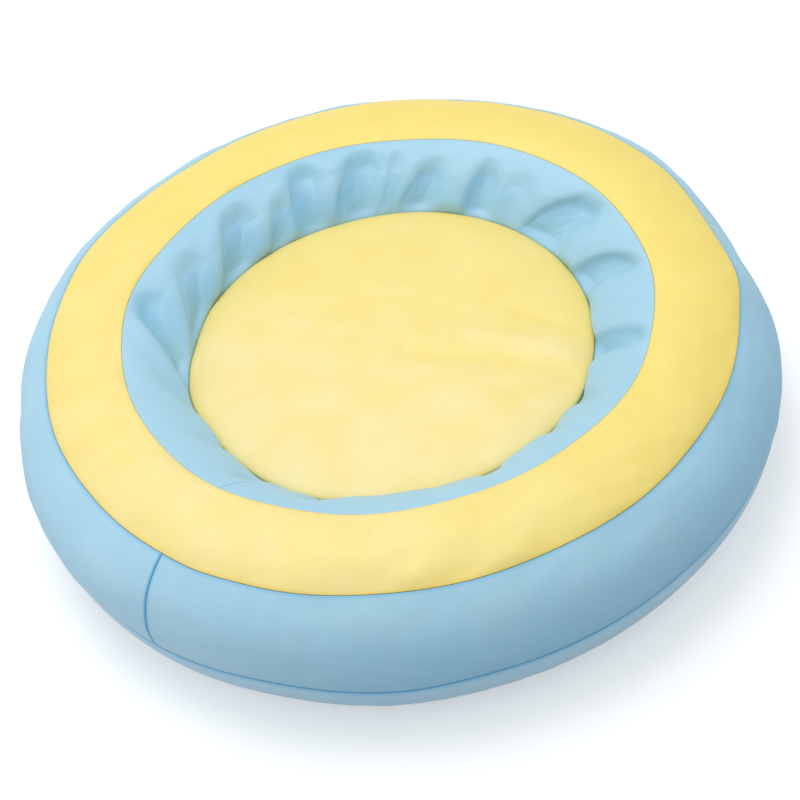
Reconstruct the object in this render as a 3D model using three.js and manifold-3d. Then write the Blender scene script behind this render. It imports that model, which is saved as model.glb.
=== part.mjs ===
// Round infant lounger: a foam ring round a thick foam floor, in a wipe-clean leathercloth cover.
// The cover is sewn from an outer band, a top band, a gathered inner band and a floor panel, and from
// two base panels that meet at a zip under the lounger. Millimetres, +Z up. The origin is on the
// ground under the middle, the front is -Y, and the zip runs along X.
import * as THREE from "three";
import { mergeVertices } from "three/addons/utils/BufferGeometryUtils.js";
import Module from "manifold-3d";

const wasm = await Module();
wasm.setup();

// Driving sizes of the section: where each ring seam lies from the one before it, from the floor
// panel out and over to the base, and how far each panel bulges between two seams.
const floorSeamRadius = 240;
const floorSeamHeight = 137;
const innerBandRun = 71; // outwards, from the floor seam to the rim seam
const innerBandRise = 61;
const topBandRun = 98; // from the rim seam to the shoulder seam
const topBandFall = 16;
const outerBandRun = 44; // from the shoulder seam to the base seam
const baseSeamHeight = 73;
const baseRollRun = 68; // back in, from the base seam to the edge of the flat foot
const innerBandBulge = 9;
const topBandBulge = 11.5;
const outerBandBulge = 20.7;
const floorCrown = 12;

const rimSeamRadius = floorSeamRadius + innerBandRun;
const rimSeamHeight = floorSeamHeight + innerBandRise;
const shoulderSeamRadius = rimSeamRadius + topBandRun;
const shoulderSeamHeight = rimSeamHeight - topBandFall;
const baseSeamRadius = shoulderSeamRadius + outerBandRun;
const footRadius = baseSeamRadius - baseRollRun;

// Cloth, seams and the running gap between neighbours.
const clothThickness = 1.2;
const seamAllowance = 10;
const seamDip = 1; // how far the cloth is drawn in at a seam
const notchHalfWidth = 3.2; // of the foam's notch for two seam allowances, at its mouth
const notchDepth = 24;
const gap = 0.3;

// Gathers of the inner band: each fold's place at the floor seam as a share of a turn from +X, and
// its depth as a share of the deepest. They fade towards the rim seam and lean back on the way up.
const foldDepth = 15;
const foldLeanDegrees = 10;
const foldTurnShares = [
  0.039, 0.106, 0.164, 0.217, 0.27, 0.308, 0.342, 0.386, 0.448,
  0.503, 0.55, 0.597, 0.656, 0.717, 0.778, 0.839, 0.903, 0.964,
];
const foldDepthShares = [
  0.9, 1, 0.6, 0.7, 0.7, 0.9, 0.6, 1, 0.9,
  1, 0.6, 0.7, 0.5, 0.8, 0.6, 0.8, 0.6, 0.8,
];
const ridgeShare = 0.35; // how far a ridge stands out, of the fold's depth
const columnShares = [0, 0.3, 0.7]; // columns of faces from one fold to the next
const columnFoldShares = [-1, ridgeShare, ridgeShare];

// The strips of the outer and inner bands are closed into rings by a join at the front left.
const joinDegrees = -135;

// The zip: two woven tapes with a moulded coil each, a slider with a pull, and end stops. It lies in
// a valley of the base, as long as the flat foot allows.
const valleySetback = 19; // of the valley's ends from the edge of the foot
const valleyHalfWidth = 60;
const valleyFade = 42; // length over which the valley runs out past the tapes' ends
const zipRecess = 9.5; // how far the zip lies above the ground
const slotHalfWidth = 8; // of the opening between the base panels
const tapeWidth = 16;
const tapeThickness = 0.8;
const tapeEnd = 16; // length of tape past each end of the chain
const tapeGap = 2.8; // between the two tapes
const coilWidth = 3.2;
const coilHeight = 2.6;
const coilGap = 0.4; // between the two coils
const sliderLength = 14;
const sliderWall = 1.1;
const sliderPlate = 1.2;
const sliderTaper = 0.9; // how much narrower its tail is than its mouth, on each side
const postLength = 3.2;
const postWidth = 1.3;
const bailLength = 6;
const bailHeight = 3.3;
const bailWidth = 1.6;
const bailEye = 1.8; // height of the hole for the pull
const pullLength = 17;
const pullWidth = 6.4;
const pullThickness = 1.1;
const pullHole = 3; // width of the window that the bail passes through
const stopLength = 3;
const stopWall = 0.8;
const overrun = 1; // by which a cutting tool passes the face it cuts

// Colours.
const yellowCloth = { color: 0xf8e48d, roughness: 0.55, metalness: 0 };
const blueCloth = { color: 0xa4cee4, roughness: 0.55, metalness: 0 };
const foam = { color: 0xf2efe2, roughness: 0.95, metalness: 0 };
const wovenTape = { color: 0x9cc4da, roughness: 0.85, metalness: 0 };
const zipPlastic = { color: 0x8fb9d2, roughness: 0.4, metalness: 0 };
const zipMetal = { color: 0xc9ccd0, roughness: 0.3, metalness: 1 };

const lounger = new THREE.Group();

function addPiece(name, geometry, finish) {
  geometry.computeVertexNormals();
  const mesh = new THREE.Mesh(geometry, new THREE.MeshStandardMaterial(finish));
  mesh.name = name;
  lounger.add(mesh);
}

// Plane geometry of the section. x is the distance from the axis and y the height.
const point = (x, y) => new THREE.Vector2(x, y);
const floorSeam = point(floorSeamRadius, floorSeamHeight);
const rimSeam = point(rimSeamRadius, rimSeamHeight);
const shoulderSeam = point(shoulderSeamRadius, shoulderSeamHeight);
const baseSeam = point(baseSeamRadius, baseSeamHeight);

// An arc that bulges to the left of the way from one seam to the next, which is always outwards.
function arcBetween(from, to, bulge, steps) {
  const chord = to.clone().sub(from);
  const half = chord.length() / 2;
  const radius = (half * half + bulge * bulge) / (2 * bulge);
  const outwards = point(-chord.y, chord.x).normalize();
  const centre = from.clone().add(to).multiplyScalar(1 / 2).addScaledVector(outwards, bulge - radius);
  const start = from.clone().sub(centre).angle();
  const sweep = 2 * Math.asin(half / radius);
  return { from, to, centre, radius, start, sweep, steps };
}

// The point of an arc at a share of its way, moved inwards by a depth.
function onArc(arc, share, depth) {
  const angle = arc.start - arc.sweep * share;
  const radius = arc.radius - depth;
  return point(arc.centre.x + radius * Math.cos(angle), arc.centre.y + radius * Math.sin(angle));
}

// Where each arc has a row of points between its seams.
const innerStepShares = [0.15, 0.45, 0.75];
const topStepShares = [0.33, 0.67];
const outerStepShares = [0.25, 0.5, 0.75];

const outwardsAt = (arc, share) => onArc(arc, share, -1).sub(onArc(arc, share, 0));

const innerArc = arcBetween(floorSeam, rimSeam, innerBandBulge, innerStepShares);
const topArc = arcBetween(rimSeam, shoulderSeam, topBandBulge, topStepShares);
const outerArc = arcBetween(shoulderSeam, baseSeam, outerBandBulge, outerStepShares);
// The base panels roll up from the ground, which they leave without a crease, to the base seam.
const rollRadius = (baseRollRun * baseRollRun + baseSeamHeight * baseSeamHeight) / (2 * baseSeamHeight);
const rollChord = Math.hypot(baseRollRun, baseSeamHeight);
const rollBulge = rollRadius - Math.sqrt(rollRadius * rollRadius - (rollChord * rollChord) / 4);
const rollArc = arcBetween(baseSeam, point(footRadius, 0), rollBulge, outerStepShares);

// The way into the filling at a seam between two arcs.
function inwardsBetween(before, after) {
  return outwardsAt(before, 1).add(outwardsAt(after, 0)).normalize().negate();
}

const downwards = point(0, -1);
const rimInwards = inwardsBetween(innerArc, topArc);
const shoulderInwards = inwardsBetween(topArc, outerArc);
const baseInwards = inwardsBetween(outerArc, rollArc);

// Where a line into the filling, beside the seam on the arc's own side, meets the arc at a depth.
function besideSeam(arc, atStart, inwards, aside, depth) {
  const seam = atStart ? arc.from : arc.to;
  const along = point(-inwards.y, inwards.x);
  const towardsArc = onArc(arc, 1 / 2, 0).sub(seam);
  if (along.dot(towardsArc) < 0) along.negate();
  const origin = seam.clone().addScaledVector(along, aside);
  const fromCentre = origin.clone().sub(arc.centre);
  const b = fromCentre.dot(inwards);
  const c = fromCentre.lengthSq() - (arc.radius - depth) ** 2;
  const reach = -b - Math.sqrt(b * b - c);
  return { origin, reach, at: (further) => origin.clone().addScaledVector(inwards, further) };
}

// Columns of faces round the lounger: three to a fold, at a place and with a share of the fold's depth.
const fullTurn = 2 * Math.PI;
const columns = foldTurnShares.flatMap((place, i) => {
  const next = (i + 1) % foldTurnShares.length;
  const spacing = (foldTurnShares[next] - place + 1) % 1;
  return columnShares.map((share, j) => ({
    angle: fullTurn * (place + spacing * share),
    fold: columnFoldShares[j] * THREE.MathUtils.lerp(foldDepthShares[i], foldDepthShares[next], share),
  }));
});
const lean = THREE.MathUtils.degToRad(foldLeanDegrees);

// A closed mesh from one section per column. A section is a list of { x, y, rise }, where rise is how
// far up the inner band the point lies, as a share, and sets how much it leans. It is a closed loop, or
// runs from the axis back to the axis, and goes clockwise: out over the top and back underneath.
function roundSolid(sectionAt) {
  const sections = columns.map((column) => sectionAt(column));
  const onAxis = sections[0][0].x === 0;
  const positions = [];
  const place = (i, j) => {
    const k = i % columns.length;
    const section = sections[k];
    const { x, y, rise } = section[j % section.length];
    const angle = columns[k].angle - lean * rise;
    return [x * Math.cos(angle), x * Math.sin(angle), y];
  };
  const rows = onAxis ? sections[0].length - 1 : sections[0].length;
  for (let i = 0; i < columns.length; i++) {
    for (let j = 0; j < rows; j++) {
      const [a, b, c, d] = [place(i, j), place(i + 1, j), place(i + 1, j + 1), place(i, j + 1)];
      const poleFirst = onAxis && j === 0;
      const poleLast = onAxis && j === rows - 1;
      // Both faces of a cloth are split along the same diagonal, so that its thickness stays even.
      if (poleFirst) positions.push(...a, ...d, ...c);
      else if (poleLast) positions.push(...a, ...d, ...b);
      else if (a[2] < d[2]) positions.push(...a, ...c, ...b, ...a, ...d, ...c);
      else positions.push(...a, ...d, ...b, ...b, ...d, ...c);
    }
  }
  const geometry = new THREE.BufferGeometry();
  geometry.setAttribute("position", new THREE.Float32BufferAttribute(positions, 3));
  return geometry;
}

// Solids for cutting and joining, and back to three.js geometry.
function toSolid(geometry) {
  const bare = geometry.index ? geometry.toNonIndexed() : geometry.clone();
  bare.deleteAttribute("normal");
  bare.deleteAttribute("uv");
  const merged = mergeVertices(bare, gap / 1000);
  return new wasm.Manifold(new wasm.Mesh({
    numProp: 3,
    vertProperties: merged.attributes.position.array,
    triVerts: new Uint32Array(merged.index.array),
  }));
}

function toGeometry(solid) {
  const mesh = solid.getMesh();
  const geometry = new THREE.BufferGeometry();
  geometry.setAttribute("position", new THREE.BufferAttribute(mesh.vertProperties, 3));
  geometry.setIndex(new THREE.BufferAttribute(mesh.triVerts, 1));
  return geometry.toNonIndexed();
}

function boxSolid(low, high, turn = 0) {
  const size = high.map((value, i) => value - low[i]);
  const box = new THREE.BoxGeometry(...size);
  box.translate(...low.map((value, i) => value + size[i] / 2));
  box.rotateZ(turn);
  return toSolid(box);
}

const withRise = (rise) => (p) => ({ x: p.x, y: p.y, rise });
const stillPoint = withRise(1); // on the parts that don't lean, all columns stand where the rim's do

// The section of a cloth band that is sewn at both edges, with its allowances turned in. Going round:
// the outer face from the first seam to the second, and the inner face back. shift moves a point
// outwards by its share of the way, for the gathers.
function bandSection(arc, startInwards, endInwards, shift = () => 0, riseAt = () => 1) {
  const edge = (atStart, inwards) => {
    const outside = besideSeam(arc, atStart, inwards, gap / 2, 0);
    const inside = besideSeam(arc, atStart, inwards, gap / 2 + clothThickness, clothThickness);
    const rise = withRise(riseAt(atStart ? 0 : 1));
    return {
      outer: [rise(outside.at(seamAllowance)), rise(outside.at(outside.reach + seamDip))],
      inner: [rise(inside.at(inside.reach + seamDip)), rise(inside.at(seamAllowance))],
    };
  };
  const start = edge(true, startInwards);
  const end = edge(false, endInwards);
  const face = (depth) =>
    arc.steps.map((share) => withRise(riseAt(share))(onArc(arc, share, depth - shift(share))));
  return [
    ...start.outer,
    ...face(0),
    ...end.outer.reverse(),
    ...end.inner.reverse(),
    ...face(clothThickness).reverse(),
    ...start.inner,
  ];
}

// The gathers are deepest a little above the floor seam, and gone at the rim seam.
const foldRootShare = 0.12; // of the way up, where a fold has its full depth
const foldFadePower = 1.4;
const fadeAt = (share) => Math.min(1, share / foldRootShare) * (1 - share) ** foldFadePower;
const foldShift = (column) => (share) => foldDepth * column.fold * fadeAt(share);
const innerRise = (share) => share;

// A thin slab at the join, and the tongues of cloth that turn in there.
function joinSlab(fromSide, toSide) {
  const reach = baseSeamRadius + outerBandBulge;
  const turn = THREE.MathUtils.degToRad(joinDegrees);
  return boxSolid([0, fromSide, -overrun], [reach, toSide, rimSeamHeight + topBandBulge], turn);
}

// The space just under a band's inner face, down to a depth, between its two seams.
function underBand(arc, startInwards, endInwards, depth, shift = () => 0, riseAt = () => 1) {
  const top = clothThickness - gap; // a little into the cloth, so that the tongue is one with it
  const inset = clothThickness + gap;
  const edge = (atStart, inwards, level) => {
    const line = besideSeam(arc, atStart, inwards, inset, level);
    return withRise(riseAt(atStart ? 0 : 1))(line.at(Math.max(line.reach, level)));
  };
  const face = (level) =>
    arc.steps.map((share) => withRise(riseAt(share))(onArc(arc, share, level - shift(share))));
  return [
    edge(true, startInwards, top),
    ...face(top),
    edge(false, endInwards, top),
    edge(false, endInwards, depth),
    ...face(depth).reverse(),
    edge(true, startInwards, depth),
  ];
}

// A closed band is opened at the join, and both ends get an allowance that turns in.
function openAtJoin(closedBand, underRing) {
  const cut = joinSlab(-gap / 2, gap / 2);
  const tongues = [-1, 1].map((side) => {
    const faces = [side * gap / 2, side * (gap / 2 + clothThickness)].sort((a, b) => a - b);
    return underRing.intersect(joinSlab(faces[0], faces[1]));
  });
  return closedBand.subtract(cut).add(tongues[0]).add(tongues[1]);
}

// The joins' allowances need a slot of their own in the foam.
const tongueDepth = clothThickness + seamAllowance / 2;
const joinSlot = (depth) => gap / 2 + clothThickness + depth;

// Outer band.
const outerBandRing = toSolid(roundSolid(() => bandSection(outerArc, shoulderInwards, baseInwards)));
const underOuter = toSolid(roundSolid(() =>
  underBand(outerArc, shoulderInwards, baseInwards, tongueDepth)));
addPiece("outer_band", toGeometry(openAtJoin(outerBandRing, underOuter)), blueCloth);

// Top band, cut in one piece.
addPiece("top_band", roundSolid(() => bandSection(topArc, rimInwards, shoulderInwards)), yellowCloth);

// Inner band, gathered on to the floor seam.
const innerBandRing = toSolid(roundSolid((column) =>
  bandSection(innerArc, downwards, rimInwards, foldShift(column), innerRise)));
const underInner = toSolid(roundSolid((column) =>
  underBand(innerArc, downwards, rimInwards, tongueDepth, foldShift(column), innerRise)));
addPiece("inner_band", toGeometry(openAtJoin(innerBandRing, underInner)), blueCloth);

// Floor panel: a disc with a low crown that drops steeply to its seam.
const floorRingShares = [0.7, 0.93];
const crownSquareness = 6;
const leaning = withRise(0);

function floorFace(depth) {
  const radius = floorSeamRadius - gap / 2;
  return floorRingShares.map((share) => {
    const rise = floorCrown * Math.sqrt(1 - share ** crownSquareness);
    return leaning(point(radius * share, floorSeamHeight - depth + rise));
  });
}

function floorPanelSection() {
  const outside = floorSeamRadius - gap / 2;
  const inside = outside - clothThickness;
  const crownTop = floorSeamHeight + floorCrown;
  return [
    leaning(point(0, crownTop)),
    ...floorFace(0),
    leaning(point(outside, floorSeamHeight)),
    leaning(point(outside, floorSeamHeight - seamAllowance)),
    leaning(point(inside, floorSeamHeight - seamAllowance)),
    leaning(point(inside, floorSeamHeight - clothThickness)),
    ...floorFace(clothThickness).reverse(),
    leaning(point(0, crownTop - clothThickness)),
  ];
}
addPiece("floor_panel", roundSolid(floorPanelSection), yellowCloth);

// The valley in which the zip lies: the base is drawn up along X, flat across the tapes.
const underCloth = clothThickness + gap;
const tapeReach = tapeGap / 2 + tapeWidth;
const valleyRunOut = footRadius - valleySetback;
const valleyFlat = valleyRunOut - valleyFade;
const tapeHalfLength = valleyFlat - tapeEnd / 2;
const chainEnd = tapeHalfLength - tapeEnd;

function valleySolid(offset) {
  const flatY = tapeReach + 2 * clothThickness;
  const fallShares = [0, 1 / 4, 1 / 2, 3 / 4, 1];
  const across = fallShares.map((share) => THREE.MathUtils.lerp(flatY, valleyHalfWidth, share));
  const alongX = fallShares.map((share) => valleyFlat + valleyFade * share);
  const ys = [...across.map((y) => -y).reverse(), ...across];
  const xs = [...alongX.map((x) => -x).reverse(), ...alongX];
  const ease = (share) => (1 + Math.cos(Math.PI * Math.min(1, Math.max(0, share)))) / 2;
  const lift = (x, y) => {
    const shareY = (Math.abs(y) - flatY) / (valleyHalfWidth - flatY);
    const shareX = (Math.abs(x) - valleyFlat) / valleyFade;
    return (zipRecess + overrun) * ease(shareY) * ease(shareX) - overrun + offset;
  };
  const base = -2 * overrun;
  const positions = [];
  const quad = (a, b, c, d) => positions.push(...a, ...b, ...c, ...a, ...c, ...d);
  const top = (i, j) => [xs[i], ys[j], lift(xs[i], ys[j])];
  const low = (i, j) => [xs[i], ys[j], base];
  const lastX = xs.length - 1;
  const lastY = ys.length - 1;
  for (let i = 0; i < lastX; i++) {
    for (let j = 0; j < lastY; j++) {
      quad(top(i, j), top(i + 1, j), top(i + 1, j + 1), top(i, j + 1));
      quad(low(i, j), low(i, j + 1), low(i + 1, j + 1), low(i + 1, j));
    }
    quad(low(i, 0), low(i + 1, 0), top(i + 1, 0), top(i, 0));
    quad(top(i, lastY), top(i + 1, lastY), low(i + 1, lastY), low(i, lastY));
  }
  for (let j = 0; j < lastY; j++) {
    quad(top(0, j), top(0, j + 1), low(0, j + 1), low(0, j));
    quad(low(lastX, j), low(lastX, j + 1), top(lastX, j + 1), top(lastX, j));
  }
  const geometry = new THREE.BufferGeometry();
  geometry.setAttribute("position", new THREE.Float32BufferAttribute(positions, 3));
  return toSolid(geometry);
}

// The base before it is cut in two: a dish of cloth whose edge turns in at the base seam.
const rollFace = (depth) => rollArc.steps.map((share) => stillPoint(onArc(rollArc, share, depth)));

function baseDishSection() {
  const outside = besideSeam(rollArc, true, baseInwards, gap / 2, 0);
  const inside = besideSeam(rollArc, true, baseInwards, gap / 2 + clothThickness, clothThickness);
  return [
    stillPoint(point(0, clothThickness)),
    stillPoint(point(footRadius, clothThickness)),
    ...rollFace(clothThickness).reverse(),
    stillPoint(inside.at(inside.reach + seamDip)),
    stillPoint(inside.at(seamAllowance)),
    stillPoint(outside.at(seamAllowance)),
    stillPoint(outside.at(outside.reach + seamDip)),
    ...rollFace(0),
    stillPoint(point(footRadius, 0)),
    stillPoint(point(0, 0)),
  ];
}

// The inside of the dish from a depth under its outer face, closed at the base seam's height.
function dishInside(depth) {
  const edge = besideSeam(rollArc, true, baseInwards, gap / 2 + clothThickness, depth);
  return toSolid(roundSolid(() => [
    stillPoint(point(0, edge.at(edge.reach).y)),
    stillPoint(edge.at(edge.reach)),
    ...rollFace(depth),
    stillPoint(point(footRadius, depth)),
    stillPoint(point(0, depth)),
  ]));
}

const liningOfValley = valleySolid(clothThickness).subtract(valleySolid(0));
const wideFoot = boxSolid(
  [-footRadius, -footRadius, 0],
  [footRadius, footRadius, zipRecess + 2 * clothThickness],
);
const baseDish = toSolid(roundSolid(baseDishSection))
  .subtract(valleySolid(0))
  .add(liningOfValley.intersect(wideFoot));

// The two halves part at the zip's slot, and past its ends they are sewn, with allowances turned in.
const seamStrip = dishInside(clothThickness - gap).subtract(dishInside(tongueDepth));
const zipSlot = boxSolid(
  [-tapeHalfLength - gap, -slotHalfWidth, -overrun],
  [tapeHalfLength + gap, slotHalfWidth, zipRecess + underCloth],
);

function basePanel(side) {
  const band = (near, far) => [side * near, side * far].sort((a, b) => a - b);
  const [low, high] = band(gap / 2, baseSeamRadius + rollRadius);
  const half = boxSolid(
    [-baseSeamRadius - rollRadius, low, -overrun],
    [baseSeamRadius + rollRadius, high, rimSeamHeight],
  );
  const [stripLow, stripHigh] = band(gap / 2, gap / 2 + clothThickness);
  const seamEnd = baseSeamRadius - seamAllowance - 2 * clothThickness;
  const strips = [-1, 1].map((end) => {
    const xs = [end * valleyRunOut, end * seamEnd].sort((a, b) => a - b);
    return seamStrip.intersect(boxSolid([xs[0], stripLow, 0], [xs[1], stripHigh, baseSeamHeight]));
  });
  return baseDish.intersect(half).subtract(zipSlot).add(strips[0]).add(strips[1]);
}
addPiece("base_panel_front", toGeometry(basePanel(-1)), blueCloth);
addPiece("base_panel_back", toGeometry(basePanel(1)), blueCloth);

// Foam ring: it fills the bands and stands on the base, with a notch for each seam's allowances.
function foamAlong(arc, startInwards, endInwards, shift = () => 0, riseAt = () => 1) {
  const face = arc.steps.map((share) =>
    withRise(riseAt(share))(onArc(arc, share, underCloth - shift(share))));
  const end = (atStart, inwards) => {
    const aside = inwards === downwards ? gap / 2 + underCloth : notchHalfWidth;
    const line = besideSeam(arc, atStart, inwards, aside, underCloth);
    return withRise(riseAt(atStart ? 0 : 1))(line.at(line.reach + seamDip));
  };
  return [end(true, startInwards), ...face, end(false, endInwards)];
}

const notch = (seam, inwards) => stillPoint(seam.clone().addScaledVector(inwards, notchDepth));

function foamRingSection(column) {
  const inner = foamAlong(innerArc, downwards, rimInwards, foldShift(column), innerRise);
  return [
    { x: inner[0].x, y: underCloth, rise: 0 },
    ...inner,
    notch(rimSeam, rimInwards),
    ...foamAlong(topArc, rimInwards, shoulderInwards),
    notch(shoulderSeam, shoulderInwards),
    ...foamAlong(outerArc, shoulderInwards, baseInwards),
    notch(baseSeam, baseInwards),
    ...foamAlong(rollArc, baseInwards, downwards).slice(0, -1),
    stillPoint(point(footRadius, underCloth)),
  ];
}

const zipTapeLevel = zipRecess + underCloth;
const insidePlateTop = zipTapeLevel + tapeThickness + gap + sliderPlate;
const zipChannel = boxSolid(
  [-tapeHalfLength - overrun, -tapeReach - overrun, 0],
  [tapeHalfLength + overrun, tapeReach + overrun, insidePlateTop + gap],
);
const seamChannels = dishInside(0)
  .subtract(dishInside(tongueDepth + gap))
  .intersect(boxSolid(
    [-baseSeamRadius, -joinSlot(gap), 0],
    [baseSeamRadius, joinSlot(gap), baseSeamHeight],
  ));
const underside = valleySolid(underCloth).add(zipChannel);
const joinSlots = [
  [outerArc, shoulderInwards, baseInwards],
  [innerArc, downwards, rimInwards],
].map(([arc, start, end]) => {
  const gathered = arc === innerArc;
  const ring = toSolid(roundSolid((column) =>
    gathered
      ? underBand(arc, start, end, tongueDepth + gap, foldShift(column), innerRise)
      : underBand(arc, start, end, tongueDepth + gap)));
  return ring.intersect(joinSlab(-joinSlot(gap), joinSlot(gap)));
});
const foamRing = toSolid(roundSolid(foamRingSection))
  .subtract(underside)
  .subtract(seamChannels)
  .subtract(joinSlots[0])
  .subtract(joinSlots[1]);
addPiece("foam_ring", toGeometry(foamRing), foam);

// Foam floor: a thick disc inside the ring, crowned under the floor panel.
function foamFloorSection() {
  const edge = floorSeamRadius - gap / 2 - underCloth;
  return [
    leaning(point(0, floorSeamHeight + floorCrown - underCloth)),
    ...floorFace(underCloth),
    leaning(point(edge, floorSeamHeight - underCloth)),
    leaning(point(edge, underCloth)),
    leaning(point(0, underCloth)),
  ];
}
const foamFloor = toSolid(roundSolid(foamFloorSection)).subtract(underside);
addPiece("foam_floor", toGeometry(foamFloor), foam);

// Zip tapes and coils, one of each to a side, front and back of the zip's line.
const coilTop = zipTapeLevel - gap;
const coilBottom = coilTop - coilHeight;

function extrudeAlongX(outline, fromX, toX) {
  const shape = new THREE.Shape(outline.map(([y, z]) => point(y, z)));
  const geometry = new THREE.ExtrudeGeometry(shape, { depth: toX - fromX, bevelEnabled: false });
  geometry.applyMatrix4(new THREE.Matrix4().makeBasis(
    new THREE.Vector3(0, 1, 0), new THREE.Vector3(0, 0, 1), new THREE.Vector3(1, 0, 0)));
  geometry.translate(fromX, 0, 0);
  return geometry;
}

const coilRoundShares = [0, 1 / 6, 1 / 3, 1 / 2, 2 / 3, 5 / 6];
const coilOutline = (side) => {
  const middle = side * (coilGap + coilWidth) / 2;
  const height = (coilTop + coilBottom) / 2;
  return coilRoundShares.map((share) => [
    middle + (coilWidth / 2) * Math.cos(fullTurn * share),
    height + (coilHeight / 2) * Math.sin(fullTurn * share),
  ]);
};

for (const [label, side] of [["front", -1], ["back", 1]]) {
  const edges = [side * tapeGap / 2, side * tapeReach].sort((a, b) => a - b);
  const tape = [
    [edges[0], zipTapeLevel], [edges[1], zipTapeLevel],
    [edges[1], zipTapeLevel + tapeThickness], [edges[0], zipTapeLevel + tapeThickness],
  ];
  addPiece(`zip_tape_${label}`, extrudeAlongX(tape, -tapeHalfLength, tapeHalfLength), wovenTape);
  addPiece(`zip_coil_${label}`, extrudeAlongX(coilOutline(side), -chainEnd, chainEnd), zipPlastic);
}

// Slider: an outer and an inner plate on either side of the chain, joined by a post that parts the
// coils, with walls that wrap round the coils and a bail under the outer plate.
const mouthHalfWidth = coilGap / 2 + coilWidth + gap + sliderWall;
const tailHalfWidth = mouthHalfWidth - sliderTaper + gap;
const postStart = chainEnd + gap;
const sliderFront = postStart + postLength + sliderWall;
const sliderTail = sliderFront - sliderLength;
const outerPlateTop = coilBottom - gap;
const outerPlateBottom = outerPlateTop - sliderPlate;
const insidePlateBottom = zipTapeLevel + tapeThickness + gap;

function extrudeUp(outline, fromZ, toZ) {
  const geometry = new THREE.ExtrudeGeometry(
    new THREE.Shape(outline.map(([x, y]) => point(x, y))),
    { depth: toZ - fromZ, bevelEnabled: false },
  );
  geometry.translate(0, 0, fromZ);
  return toSolid(geometry);
}

// Shield shape: broad across the mouth, where the coils part, and drawn in to the tail.
function sliderOutline() {
  const shoulder = sliderFront - sliderLength / 3;
  const corner = sliderWall;
  const side = [
    [sliderTail, tailHalfWidth - corner],
    [sliderTail + corner, tailHalfWidth],
    [sliderTail + sliderLength / 4, tailHalfWidth],
    [shoulder, mouthHalfWidth],
    [sliderFront - corner, mouthHalfWidth],
    [sliderFront, mouthHalfWidth - corner],
  ];
  return [...side.map(([x, y]) => [x, -y]), ...side.reverse()];
}

const channelHalfWidth = coilGap / 2 + coilWidth + gap;
const flangeTop = zipTapeLevel - gap;
const flanged = extrudeUp(sliderOutline(), outerPlateBottom, flangeTop).subtract(boxSolid(
  [sliderTail - overrun, -channelHalfWidth, outerPlateTop],
  [sliderFront + overrun, channelHalfWidth, flangeTop + overrun],
));
const insidePlate = extrudeUp(sliderOutline(), insidePlateBottom, insidePlateTop);
const post = extrudeUp([
  [postStart, 0],
  [postStart + postLength / 3, -postWidth / 2],
  [postStart + postLength, -postWidth / 2],
  [postStart + postLength, postWidth / 2],
  [postStart + postLength / 3, postWidth / 2],
], outerPlateTop - gap, insidePlateBottom + gap);
const bailFront = sliderFront - sliderLength / 4;
const bailBack = bailFront - bailLength;
const bailBottom = outerPlateBottom - bailHeight;
const bail = boxSolid(
  [bailBack, -bailWidth / 2, bailBottom],
  [bailFront, bailWidth / 2, outerPlateBottom + gap],
).subtract(boxSolid(
  [bailBack + sliderWall, -bailWidth, outerPlateBottom - bailEye - gap],
  [bailFront - sliderWall, bailWidth, outerPlateBottom - gap],
));
const slider = flanged.add(insidePlate).add(post).add(bail);
addPiece("zip_slider", toGeometry(slider), zipMetal);

// Pull: a flat tab whose window hangs on the bail, folded back along the zip.
const pullPivotX = bailBack + sliderWall + (bailLength - 2 * sliderWall) / 2;
const pullPivotZ = outerPlateBottom - gap - bailEye / 2;
addPiece("zip_pull", toGeometry(pullSolid()), zipMetal);

function pullSolid() {
  const barHalf = pullThickness / 2;
  const front = pullPivotX + barHalf;
  const rear = front - pullLength;
  const corner = pullWidth / 4;
  const outline = [
    [front, -pullWidth / 2], [front, pullWidth / 2],
    [rear + corner, pullWidth / 2 - gap], [rear, pullWidth / 4],
    [rear, -pullWidth / 4], [rear + corner, gap - pullWidth / 2],
  ].reverse();
  const tab = extrudeUp(outline, pullPivotZ - barHalf, pullPivotZ + barHalf);
  const window = boxSolid(
    [pullPivotX - barHalf - bailLength, -pullHole / 2, pullPivotZ - bailHeight],
    [pullPivotX - barHalf, pullHole / 2, pullPivotZ + bailHeight],
  );
  return tab.subtract(window);
}

// Stops: a clip on the edge of each tape at the closed end, and one across both at the other.
function clipOutline(side) {
  const near = tapeGap / 2 - gap - stopWall;
  const far = tapeGap / 2 + coilWidth;
  const low = zipTapeLevel - gap;
  const high = zipTapeLevel + tapeThickness + gap;
  const web = near + stopWall;
  return [
    [near, low - stopWall], [far, low - stopWall], [far, low], [web, low],
    [web, high], [far, high], [far, high + stopWall], [near, high + stopWall],
  ].map(([y, z]) => [side * y, z]);
}

const stopFrom = sliderFront + gap;
for (const [label, side] of [["front", -1], ["back", 1]]) {
  const outline = side > 0 ? clipOutline(side) : clipOutline(side).reverse();
  addPiece(`zip_top_stop_${label}`, extrudeAlongX(outline, stopFrom, stopFrom + stopLength), zipMetal);
}

function endStop() {
  const reach = coilGap / 2 + coilWidth;
  const low = coilBottom;
  const high = zipTapeLevel + tapeThickness + gap;
  const web = tapeGap / 2 - gap;
  const outline = [
    [-reach, low], [reach, low], [reach, flangeTop], [web, flangeTop], [web, high], [reach, high],
    [reach, high + stopWall], [-reach, high + stopWall], [-reach, high], [-web, high],
    [-web, flangeTop], [-reach, flangeTop],
  ];
  const to = -chainEnd - gap;
  return extrudeAlongX(outline, to - stopLength, to);
}
addPiece("zip_end_stop", endStop(), zipMetal);

export default lounger;
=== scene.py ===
# Round infant lounger: a foam ring round a thick foam floor, in a wipe-clean leathercloth cover that
# is sewn from panels and closed by a zip underneath. Metres, +Z up, the front is -Y. The sections
# follow the lounger as it is put together, and the ground, the lamps and the camera come last.
import math

import bmesh
import bpy
import numpy as np
from mathutils import Matrix, Vector


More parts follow.
